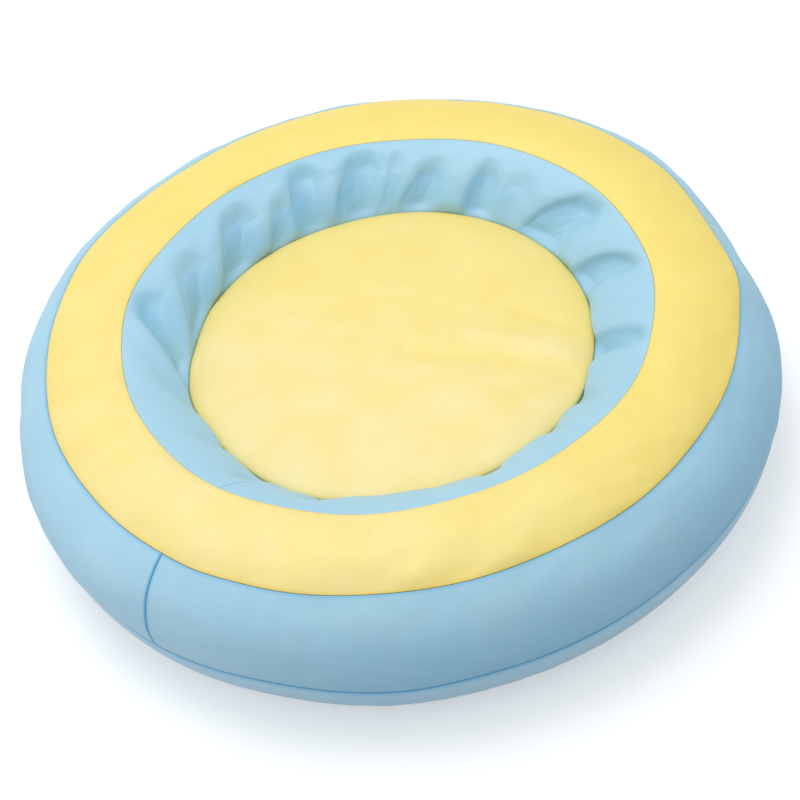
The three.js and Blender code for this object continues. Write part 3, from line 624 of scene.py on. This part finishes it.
def settling(columns, rows):
    # The strip is cut longer than the floor seam. It starts in its folds and settles as cloth under
    # the push of the foam, held at both seams. Gives how far each point of it moves.
    angle = inner_join + np.arange(columns)[:, None] * full_turn / columns
    share = np.broadcast_to(np.linspace(0, 1, rows)[None, :], (columns, rows))
    grid = angle + inner_lean * (1 - share)
    start, flat, outwards = folded(grid, share)
    cut_radius = flat[..., 0] * (1 + fullness * (1 - share) ** 1.3)
    step = np.linalg.norm(np.diff(flat, axis=1), axis=2)
    climb = np.sqrt(np.maximum(step ** 2 - np.diff(cut_radius, axis=1) ** 2, 0))
    height = np.concatenate([np.zeros((columns, 1)), np.cumsum(climb, axis=1)], 1)
    cut = turned(grid, np.stack([cut_radius, height + floor_height], -1))
    cloth = quilt("settling_cloth", start, True, False)
    cloth.shape_key_add(name="start")
    cloth.shape_key_add(name="cut").data.foreach_set("co", cut.ravel())
    held = cloth.vertex_groups.new(name="held")
    both_seams = [c * rows + r for c in range(columns) for r in (0, rows - 1)]
    held.add(both_seams, 1, "REPLACE")
    fall = cloth.modifiers.new("settle", "CLOTH")
    rules = fall.settings
    rules.quality = 6
    rules.mass = 0.3
    rules.tension_stiffness = rules.compression_stiffness = 30
    rules.shear_stiffness = 8
    rules.bending_stiffness = 0.03
    rules.tension_damping = rules.compression_damping = 15
    rules.shear_damping = 8
    rules.bending_damping = 0.1
    rules.vertex_group_mass = "held"
    rules.use_pressure = True
    rules.uniform_pressure_force = 3.5
    rules.rest_shape_key = cloth.data.shape_keys.key_blocks["cut"]
    rules.effector_weights.gravity = 0
    fall.collision_settings.use_collision = False
    for moment in range(1, 21):
        bpy.context.scene.frame_set(moment)
    seen = cloth.evaluated_get(bpy.context.evaluated_depsgraph_get())
    settled = np.empty(columns * rows * 3)
    seen.data.vertices.foreach_get("co", settled)
    settled = settled.reshape(columns, rows, 3)
    bpy.data.objects.remove(cloth)
    bpy.context.scene.frame_set(1)
    moved = settled - start
    into_foam = np.minimum((moved * outwards).sum(-1) + 1.2 * mm, 0)
    moved = moved - outwards * into_foam[..., None]
    reach = np.linalg.norm(moved, axis=-1, keepdims=True)
    return moved * np.minimum(1, most_settling / np.maximum(reach, 1e-9))


settled_by = settling(540, 27)


def inner_shape(angle, share):
    # The folded cloth, drawn finely, with the coarser settling added to it.
    at_column = (angle - inner_join) / full_turn * settled_by.shape[0]
    at_row = share * (settled_by.shape[1] - 1)
    grid = angle[:, None] + inner_lean * (1 - share)
    start = folded(grid, np.broadcast_to(share, grid.shape))[0]
    return start + between(between(settled_by, at_column, 0, True), at_row, 1, False)


inner_band = sewn_band("inner_band_cloth", floor_seam, rim_seam, inner_bulge, inner_width,
                       ((0, -1), rim_inwards), (roll_in, rim_roll), gathers,
                       inner_join, inner_lean, inner_shape)


def painted_shade_in_hollows(angle, height):
    # Painted shade: the cloth is drawn darker low at the back, in two hollows at the left, along the rim at
    # the back, and beside each fold.
    share = np.clip((height - floor_height) / inner_rise, 0, 1)
    low = np.clip((0.75 - share) / 0.5, 0, 1) * (0.3 + 0.7 * np.clip(share / 0.5, 0, 1))
    shade = lumps(angle, [(105, 62, 0.4)]) / mm * low
    shade = shade + lumps(angle, [(151, 13, 0.15)]) / mm * np.exp(-(((share - 0.3) / 0.22) ** 2))
    shade = shade + lumps(angle, [(162, 6, 0.2)]) / mm * np.exp(-(((share - 0.75) / 0.18) ** 2))
    at_back = lumps(angle, [(110, 52, 0.75)]) / mm
    shade = shade + 0.22 * at_back * np.clip((share - 0.7) / 0.2, 0, 1)
    fading = 1 - at_back * np.clip(1 - share / 0.45, 0, 1)
    for fold in folds:
        away, begun = beside_fold(fold, angle, share)
        depth, width = min(fold[4], 12), fold[5] * mm
        inside = np.clip((away + 2 * mm) / (5 * mm), 0, 1)
        inside = inside * np.exp(-((np.maximum(away - 0.5 * width, 0) / (0.5 * width)) ** 2))
        in_corner = (1 - at_back) * np.exp(-share / 0.08)
        shade = shade + (0.025 * fading + 0.006 * in_corner) * depth * begun * inside
    return shade


def painted_light_near_floor(angle, points):
    # Painted light: the cloth is drawn paler along the floor at the back.
    at_back = lumps(angle, [(105, 60, 0.9)]) / mm
    return at_back * np.exp(-np.maximum(points[:, 2] - floor_height, 0) / (10 * mm))


seam_shade(inner_band, (floor_seam, 0.6, 2), painted_shade=painted_shade_in_hollows, pale=painted_light_near_floor)
inner_band.data.materials.append(blue)
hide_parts("inner_band")
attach(inner_band, "lounger")

# Floor panel: a disc of yellow leathercloth over the foam floor, its edge turned down into the seam
# with the gathered inner band. It lies easy, with a few broad shallow wrinkles.
panel_radius = floor_seam(angles[:, None])[0] - 0.2 * mm
panel_rho = np.concatenate([rho_steps, [1, 1]])
panel_height = np.concatenate([crowned(rho_steps), [-5 * mm, -10 * mm]])
panel = disc(panel_radius, panel_rho, floor_height + panel_height)
panel[..., 2] += floor_lift(panel * (1, 1, 0), panel_rho[None])
floor_panel = quilt("floor_panel_cloth", panel, True, False)


def painted_light_on_floor(angle, points):
    # Painted sheen towards the front, and painted light on the ridges of the wrinkles: the cloth is drawn
    # paler there.
    to_front = np.clip((-0.6 * points[:, 0] - 1.5 * points[:, 1]) / (400 * mm), -0.3, 0.5)
    return 0.76 + to_front + 0.12 * wrinkled(points)


seam_shade(floor_panel, (floor_seam, 1, 3), pale=painted_light_on_floor)
thickened(floor_panel)
floor_panel.data.materials.append(yellow)
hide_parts("floor_panel")
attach(floor_panel, "lounger")

# Base panels: two halves of blue leathercloth that close the cover underneath. They are sewn to the
# outer band at the base seam, roll in under the foam and lie on the ground. The zip sits between them,
# drawn up a little, and a plain seam joins them beyond its two ends.
slot_half, slot_end = 8 * mm, 316.3 * mm
# Width of the roll, and how high the cloth is drawn up in the valley along the zip.
roll_width, cloth_valley = 110.8 * mm, 9.5 * mm


def half_base(name, first_angle):
    # One half: the roll from the base seam to the foot, and the flat foot up to the zip. Its folded edge
    # stands off the zip's slot and closes on the other half's beyond it.
    ends, end_deep = across(math.pi * foot_radius, 470)
    angle = first_angle + math.pi * ends
    side = 1 if first_angle < 1 else -1
    share, deep = across(roll_width, 30, base_roll)
    roll_share = np.concatenate([share[:6], np.linspace(share[5], 1, 18)[1:]])
    roll_deep = np.concatenate([deep[:6], np.zeros(17)])
    grid = np.repeat(angle[:, None], len(roll_share), 1)
    roll, outwards = over_arc(base_seam, foot_edge, roll_bulge, grid, roll_share, base_lift)
    roll = roll + turned(grid, np.broadcast_to(base_inwards, (*grid.shape, 2))) * roll_deep[None, :, None]
    roll = roll - outwards * end_deep[:, None, None]
    x = foot_radius * np.cos(angle)[:, None]
    foot = foot_radius * np.abs(np.sin(angle))[:, None]
    closed = np.clip((np.abs(x) - (slot_end - 3 * mm)) / (3 * mm), 0, 1)
    edge = half_gap + (slot_half - half_gap) * np.sqrt(1 - closed ** 2)
    steps = np.linspace(1, 0, 38)[1:-1] ** 1.8
    turn_up = np.radians([90, 60, 30, 0])
    away = np.concatenate([roll_in * (1 - np.cos(turn_up)), [0, 0]])
    up = np.concatenate([roll_in * (1 - np.sin(turn_up)), roll_in + allowance * np.array([0.5, 1])])
    y = np.concatenate([edge + roll_in + (foot - edge - roll_in) * steps[None], edge + away[None]], 1)
    y = np.minimum(y, foot)
    up = np.broadcast_to(np.concatenate([0 * steps, up]), y.shape)
    up = np.where(up > roll_in * 1.01, roll_in + (up - roll_in) * closed ** 4, up)
    y = y * side
    x = np.broadcast_to(x, y.shape)
    bottom = np.stack([x, y, valley(x, y, cloth_valley)], -1)
    beside_zip = np.clip(np.abs(y) / slot_half - 1, 0, 30)
    puckers = 1 + np.sin(x / (1.9 * mm) + 2 * np.sin(x / (31 * mm)))
    drawn = 0.3 * mm * (puckers * beside_zip * np.exp(-beside_zip * 0.9)) * (beside_zip < 6)
    loose = np.clip((foot - np.abs(y)) / (30 * mm), 0, 1) * np.clip(beside_zip, 0, 1)
    bottom[..., 2] += drawn + loose * np.maximum(0, 0.35 * mm * drift(bottom, 60 * mm, 12))
    bottom[..., 2] += np.maximum(up, end_deep[:, None])
    deeper = lambda i, j: (np.maximum(end_deep[i], end_deep[i + 1]) > roll_in * 1.01) & (j < 2)
    piece = quilt(name, np.concatenate([roll, bottom], 1), False, False, deeper)
    # Painted light: each half is drawn in the paler tint all over, though it lies in shade under the ring.
    seam_shade(piece, (base_seam, 2.1, 1.6), pale=lambda angle, points: 1 + 0 * angle)
    thickened(piece)
    piece.data.materials.append(blue)
    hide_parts(name.replace("_cloth", ""))
    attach(piece, "lounger")


half_base("base_panel_back_cloth", 0)
half_base("base_panel_front_cloth", math.pi)

# Zip tapes: two strips of woven polyester tape, 16 mm wide, sewn behind the folded edges of the base
# panels. Their weave is a fine herringbone, and the sewing machine has left them a little wavy.
tape_half_length, tape_level, tape_thickness = 322 * mm, 11 * mm, 0.8 * mm
tape_edges = 1.4 * mm, 17.4 * mm
tape_steps = 641


def woven_tape():
    material, tree, surface = shader("woven_tape", linear(150, 192, 216), 0.75)
    place = node(tree, "ShaderNodeTexCoord")
    apart = node(tree, "ShaderNodeSeparateXYZ")
    zigzag = node(tree, "ShaderNodeMath", operation="PINGPONG")
    zigzag.inputs[1].default_value = 2 * mm
    slanted = node(tree, "ShaderNodeMath", operation="ADD")
    ribs = node(tree, "ShaderNodeMath", operation="MULTIPLY")
    ribs.inputs[1].default_value = full_turn / (0.7 * mm)
    wave = node(tree, "ShaderNodeMath", operation="SINE")
    speck = node(tree, "ShaderNodeTexNoise", Scale=900, Detail=2)
    tint = two_tints(tree, (132, 178, 205), (170, 208, 228))
    bump = node(tree, "ShaderNodeBump", Strength=0.8, Distance=0.0002)
    link_up(
        tree, (place, "Object", apart, "Vector"), (place, "Object", speck, "Vector"),
        (apart, "Y", zigzag, 0), (apart, "X", slanted, 0), (zigzag, "Value", slanted, 1),
        (slanted, "Value", ribs, 0), (ribs, "Value", wave, 0), (wave, "Value", bump, "Height"),
        (speck, "Fac", tint, "Factor"), (tint, "Result", surface, "Base Color"),
        (bump, "Normal", surface, "Normal"))
    return material


def face_outwards(mesh, merged=0):
    # Turns all faces of a closed mesh outwards, after points within the given distance are merged.
    shell = bmesh.new()
    shell.from_mesh(mesh)
    if merged:
        bmesh.ops.remove_doubles(shell, verts=shell.verts, dist=merged)
    bmesh.ops.recalc_face_normals(shell, faces=shell.faces)
    shell.to_mesh(mesh)
    shell.free()


tape_weave = woven_tape()
for side, name in ((1, "zip_tape_back"), (-1, "zip_tape_front")):
    round_edge = np.radians([90, 45, 0, -45, -90])
    inner, outer = tape_edges
    half = tape_thickness / 2
    loop_y = np.concatenate([
        np.linspace(inner + half, outer - half, 7)[:-1], outer - half + half * np.cos(round_edge),
        np.linspace(outer - half, inner + half, 7)[1:-1], inner + half - half * np.cos(round_edge)])
    loop_z = np.concatenate([
        np.full(6, half), half * np.sin(round_edge), np.full(5, -half), -half * np.sin(round_edge)])
    along = np.linspace(-1, 1, tape_steps)[:, None]
    wide = np.concatenate([[0], np.ones(tape_steps - 2), [0]])[:, None]
    along[[0, -1]] = along[[1, -2]]
    # Beyond the coils' ends the tapes close up on each other.
    past = np.clip((np.abs(along * tape_half_length + 2 * mm) - 301 * mm) / (4 * mm), 0, 1)
    middle = (inner + outer) / 2
    meeting = eased(past) * 1.2 * mm * (outer - loop_y[None]) / (outer - inner)
    tape_y = middle + (loop_y[None] - meeting - middle) * wide
    slack = np.clip((tape_y - 9 * mm) / (8 * mm), 0, 1)
    ripple = 0.12 * mm * np.sin(along * 95 + 3 * np.sin(along * 17)) * slack
    tape_z = tape_level + half + loop_z[None] * wide * 0.99 + ripple * wide
    tape_points = np.stack([along * tape_half_length + 0 * tape_y, side * tape_y, tape_z], -1)
    tape = quilt(name + "_weave", tape_points, False, True)
    face_outwards(tape.data)
    tape.data.materials.append(tape_weave)
    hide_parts(name)
    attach(tape, "lounger")

# Zip coils: on each tape a continuous coil of nylon wire, pressed oval, is sewn down. Its loops are
# the teeth, and those of one side lie between those of the other.


def nylon():
    material, tree, surface = shader("moulded_nylon", linear(150, 196, 222), 0.35,
                                     Subsurface_Weight=0.05, Subsurface_Scale=0.001)
    place = node(tree, "ShaderNodeTexCoord")
    cloud = node(tree, "ShaderNodeTexNoise", Scale=160, Detail=2)
    tint = two_tints(tree, (138, 186, 214), (166, 208, 230))
    link_up(
        tree, (place, "Object", cloud, "Vector"), (cloud, "Fac", tint, "Factor"),
        (tint, "Result", surface, "Base Color"))
    return material


def new_tree(name, **inputs):
    # An empty tree of geometry nodes with named inputs, and the identifier of each.
    tree = bpy.data.node_groups.new(name, "GeometryNodeTree")
    sockets = {}
    for label, kind in inputs.items():
        socket = tree.interface.new_socket(
            label.replace("_", " "), in_out="INPUT", socket_type="NodeSocket" + kind)
        sockets[label] = socket.identifier
    tree.interface.new_socket("Geometry", in_out="OUTPUT", socket_type="NodeSocketGeometry")
    return tree, sockets, node(tree, "NodeGroupInput"), node(tree, "NodeGroupOutput")


def grown(name, tree, sockets, values):
    # The plain mesh that a tree makes with these values of its inputs, as a new piece.
    seed = in_scene(name + "_seed", bpy.data.meshes.new(name + "_seed"))
    growth = seed.modifiers.new("growth", "NODES")
    growth.node_group = tree
    for label, value in values.items():
        growth[sockets[label]] = value
    evaluated = seed.evaluated_get(bpy.context.evaluated_depsgraph_get())
    mesh = bpy.data.meshes.new_from_object(evaluated)
    mesh.name = name
    bpy.data.objects.remove(seed)
    return in_scene(name, mesh)


def coil_tree():
    tree, sockets, given, made = new_tree(
        "wound_coil", Turns="Float", Length="Float", Start="Vector", Half_Size="Vector", Wire="Float",
        Material="Material")
    spiral = node(tree, "GeometryNodeCurveSpiral", Resolution=8, Start_Radius=1, End_Radius=1)
    where = node(tree, "GeometryNodeInputPosition")
    apart = node(tree, "ShaderNodeSeparateXYZ")
    order = node(tree, "ShaderNodeCombineXYZ")
    sized = node(tree, "ShaderNodeVectorMath", operation="MULTIPLY_ADD")
    laid = node(tree, "GeometryNodeSetPosition")
    ring = node(tree, "GeometryNodeCurvePrimitiveCircle", Resolution=5)
    swept = node(tree, "GeometryNodeCurveToMesh", Fill_Caps=True)
    real = node(tree, "GeometryNodeRealizeInstances")
    finish = node(tree, "GeometryNodeSetMaterial")
    link_up(
        tree, (given, "Turns", spiral, "Rotations"), (given, "Length", spiral, "Height"),
        (where, "Position", apart, "Vector"), (apart, "Z", order, "X"), (apart, "X", order, "Y"),
        (apart, "Y", order, "Z"), (order, "Vector", sized, 0), (given, "Half Size", sized, 1),
        (given, "Start", sized, 2), (spiral, "Curve", laid, "Geometry"),
        (sized, "Vector", laid, "Position"), (given, "Wire", ring, "Radius"),
        (laid, "Geometry", swept, "Curve"), (ring, "Curve", swept, "Profile Curve"),
        (swept, "Mesh", real, "Geometry"), (real, "Geometry", finish, "Geometry"),
        (given, "Material", finish, "Material"), (finish, "Geometry", made, "Geometry"))
    return tree, sockets


moulded = nylon()
wound, wound_sockets = coil_tree()
# Length and pitch of a coil and radius of its wire, and how far the coil's middle lies from the zip's
# line and above the ground.
coil_length, pitch, wire = 598 * mm, 1.3 * mm, 0.3 * mm
coil_aside, coil_level = 1.5 * mm, 9.6 * mm
for side, name in ((1, "zip_coil_back"), (-1, "zip_coil_front")):
    coil = grown(name + "_wire", wound, wound_sockets, {
        "Turns": coil_length / pitch, "Length": coil_length, "Wire": wire, "Material": moulded,
        "Start": (-coil_length / 2 + (pitch / 2 if side > 0 else 0), side * coil_aside, coil_level),
        "Half_Size": (1, side * 1.63 * mm, 1.1 * mm)})
    face_outwards(coil.data, 1e-7)
    coil.data.shade_smooth()
    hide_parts(name)
    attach(coil, "lounger")

# Stitches: a row of lockstitch in blue polyester thread holds each tape behind the folded edge of its
# panel, 3 mm from the fold, and a close bar of stitches ties the two panels at each end of the zip.


def thread():
    material, tree, surface = shader("polyester_thread", linear(128, 180, 210), 0.55)
    place = node(tree, "ShaderNodeTexCoord")
    twist = node(tree, "ShaderNodeTexWave", Scale=900, Distortion=1)
    tint = two_tints(tree, (112, 166, 200), (146, 194, 220))
    link_up(
        tree, (place, "Object", twist, "Vector"), (twist, "Fac", tint, "Factor"),
        (tint, "Result", surface, "Base Color"))
    return material


def stitch_tree():
    tree, sockets, given, made = new_tree(
        "row_of_stitches", Count="Int", Start="Vector", Step="Vector", Stitch_Size="Vector",
        Material="Material")
    line = node(tree, "GeometryNodeMeshLine")
    bead = node(tree, "GeometryNodeMeshUVSphere", Segments=8, Rings=5, Radius=1)
    shape = node(tree, "GeometryNodeTransform")
    smooth = node(tree, "GeometryNodeSetShadeSmooth")
    placed = node(tree, "GeometryNodeInstanceOnPoints")
    real = node(tree, "GeometryNodeRealizeInstances")
    finish = node(tree, "GeometryNodeSetMaterial")
    link_up(
        tree, (given, "Count", line, "Count"), (given, "Start", line, "Start Location"),
        (given, "Step", line, "Offset"), (given, "Stitch Size", shape, "Scale"),
        (bead, "Mesh", shape, "Geometry"), (shape, "Geometry", smooth, "Geometry"),
        (line, "Mesh", placed, "Points"), (smooth, "Geometry", placed, "Instance"),
        (placed, "Instances", real, "Geometry"), (real, "Geometry", finish, "Geometry"),
        (given, "Material", finish, "Material"), (finish, "Geometry", made, "Geometry"))
    return tree, sockets


spun = thread()
sewn, sewn_sockets = stitch_tree()
# Pitch and number of the stitches in a row and their height, and pitch, number and place of those
# in an end bar.
stitch_pitch, stitch_count, stitch_level = 3.4 * mm, 184, 9.5 * mm
bar_pitch, bar_count, bar_place = 0.7 * mm, 22, 318.5 * mm
for side, name in ((1, "stitches_back"), (-1, "stitches_front")):
    row = grown(name, sewn, sewn_sockets, {
        "Count": stitch_count, "Step": (stitch_pitch, 0, 0),
        "Start": (-(stitch_count - 1) / 2 * stitch_pitch, side * (slot_half + 3.2 * mm), stitch_level),
        "Stitch_Size": (1.5 * mm, 0.3 * mm, 0.25 * mm), "Material": spun})
    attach(row, "lounger")
for side, name in ((1, "end_bar_right"), (-1, "end_bar_left")):
    row = grown(name, sewn, sewn_sockets, {
        "Count": bar_count, "Step": (0, bar_pitch, 0),
        "Start": (side * bar_place, -(bar_count - 1) / 2 * bar_pitch, stitch_level),
        "Stitch_Size": (1.8 * mm, 0.32 * mm, 0.28 * mm), "Material": spun})
    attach(row, "lounger")

# Slider, pull and stops: pressed and cast zinc with a dull nickel plate. The slider runs on both coils,
# its pull hangs in the bail, and small stops close the ends of the coils.


def nickel():
    material, tree, surface = shader("nickel_plate", linear(204, 203, 200), 0.3, Metallic=1)
    place = node(tree, "ShaderNodeTexCoord")
    cloud = node(tree, "ShaderNodeTexNoise", Scale=260, Detail=4)
    rough = node(tree, "ShaderNodeMapRange", To_Min=0.22, To_Max=0.42)
    tint = two_tints(tree, (188, 187, 184), (216, 216, 213))
    bump = node(tree, "ShaderNodeBump", Strength=0.15, Distance=0.0001)
    link_up(
        tree, (place, "Object", cloud, "Vector"), (cloud, "Fac", rough, "Value"),
        (rough, "Result", surface, "Roughness"), (cloud, "Fac", tint, "Factor"),
        (tint, "Result", surface, "Base Color"), (cloud, "Fac", bump, "Height"),
        (bump, "Normal", surface, "Normal"))
    return material


plated = nickel()


def rounded_metal(node_name, body, edge):
    # A copy of a metal node's mesh with its triangles joined to whole faces and its edges broken.
    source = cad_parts[node_name].data
    corners, faces = [tuple(v.co) for v in source.vertices], [tuple(f.vertices) for f in source.polygons]
    mesh = bpy.data.meshes.new(node_name + "_metal")
    mesh.from_pydata(corners, [], faces)
    whole = bmesh.new()
    whole.from_mesh(mesh)
    bmesh.ops.remove_doubles(whole, verts=whole.verts, dist=1e-6)
    bmesh.ops.dissolve_limit(whole, angle_limit=math.radians(1), use_dissolve_boundaries=False,
                             verts=whole.verts, edges=whole.edges)
    whole.to_mesh(mesh)
    whole.free()
    mesh.shade_smooth()
    mesh.materials.append(plated)
    piece = in_scene(node_name + "_metal", mesh)
    broken = piece.modifiers.new("broken_edges", "BEVEL")
    broken.width = edge
    broken.segments = 2
    broken.limit_method = "ANGLE"
    broken.angle_limit = math.radians(28)
    broken.harden_normals = True
    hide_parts(node_name)
    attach(piece, body)


rounded_metal("zip_slider", "zip_slider", 0.3 * mm)
rounded_metal("zip_pull", "zip_pull", 0.3 * mm)
for stop in ("zip_top_stop_front", "zip_top_stop_back", "zip_end_stop"):
    rounded_metal(stop, "lounger", 0.25 * mm)

# Ground, lamps and camera: a pale seamless ground under a white sky, a broad soft lamp high behind the
# left side, a weak low one at the left, and the photograph's own view from the front at 46 degrees.
ground_reach = 9
ground_corners = [(x * ground_reach, y * ground_reach, 0) for x, y in ((-1, -1), (1, -1), (1, 1), (-1, 1))]
ground_mesh = bpy.data.meshes.new("ground")
ground_mesh.from_pydata(ground_corners, [], [(0, 1, 2, 3)])
ground = in_scene("ground", ground_mesh)
pale, pale_tree, pale_surface = shader(
    "pale_ground", (0.55, 0.55, 0.55), 0.9, Specular_IOR_Level=0.1, Emission_Color=(1, 1, 1, 1))
seen = node(pale_tree, "ShaderNodeLightPath")
direct = node(pale_tree, "ShaderNodeMath", operation="MAXIMUM")
mirrored = node(pale_tree, "ShaderNodeMath", operation="MAXIMUM")
whiter = node(
    pale_tree, "ShaderNodeMix", data_type="RGBA", A=(0.42, 0.42, 0.42, 1), B=(0.78, 0.78, 0.78, 1))
glow = node(pale_tree, "ShaderNodeMath", operation="MULTIPLY")
glow.inputs[1].default_value = 0.38
link_up(
    pale_tree, (seen, "Is Camera Ray", direct, 0), (seen, "Is Glossy Ray", direct, 1),
    (direct, "Value", mirrored, 0), (seen, "Is Transmission Ray", mirrored, 1),
    (mirrored, "Value", whiter, "Factor"), (whiter, "Result", pale_surface, "Base Color"),
    (mirrored, "Value", glow, 0), (glow, "Value", pale_surface, "Emission Strength"))
ground_mesh.materials.append(pale)

world = bpy.data.worlds.new("studio")
bpy.context.scene.world = world
world.use_nodes = True
sky = world.node_tree
backdrop = sky.nodes["Background"]
backdrop.inputs["Strength"].default_value = 0.71
horizon = node(sky, "ShaderNodeMix", data_type="RGBA", A=(0.95, 1, 1.03, 1), B=(1.42, 1.42, 1.42, 1))
straight = node(sky, "ShaderNodeLightPath")
link_up(sky, (straight, "Is Camera Ray", horizon, "Factor"), (horizon, "Result", backdrop, "Color"))


def soft_lamp(name, place, aim, size, power):
    lamp = bpy.data.lights.new(name, "AREA")
    lamp.shape = "DISK"
    lamp.size = size
    lamp.energy = power
    holder = in_scene(name, lamp)
    holder.location = place
    holder.rotation_euler = (Vector(aim) - Vector(place)).to_track_quat("-Z", "Y").to_euler()


soft_lamp("key_lamp", (-0.55, 1.0, 4.0), (0, 0, 0.1), 2.8, 61.5)
soft_lamp("side_lamp", (-2.6, -0.6, 0.5), (0, 0, 0.1), 1.4, 7)

# How far the camera looks down and is rolled, the point that it looks at, and its distance from it.
elevation, roll = math.radians(45.71), math.radians(10.08)
looked_at, distance = Vector((-0.0017, 0, 0.0434)), 2.4084
ahead = Vector((0, math.cos(elevation), -math.sin(elevation)))
level = Vector((1, 0, 0))
upright = level.cross(ahead)
right = math.cos(roll) * level - math.sin(roll) * upright
above = math.sin(roll) * level + math.cos(roll) * upright
camera = bpy.data.cameras.new("camera")
camera.lens = 88.71
camera.sensor_width = 36
viewer = in_scene("camera", camera)
turn = Matrix((right, above, -ahead)).transposed().to_4x4()
viewer.matrix_world = Matrix.Translation(looked_at - distance * ahead) @ turn
bpy.context.scene.camera = viewer
bpy.context.scene.view_settings.view_transform = "Standard"
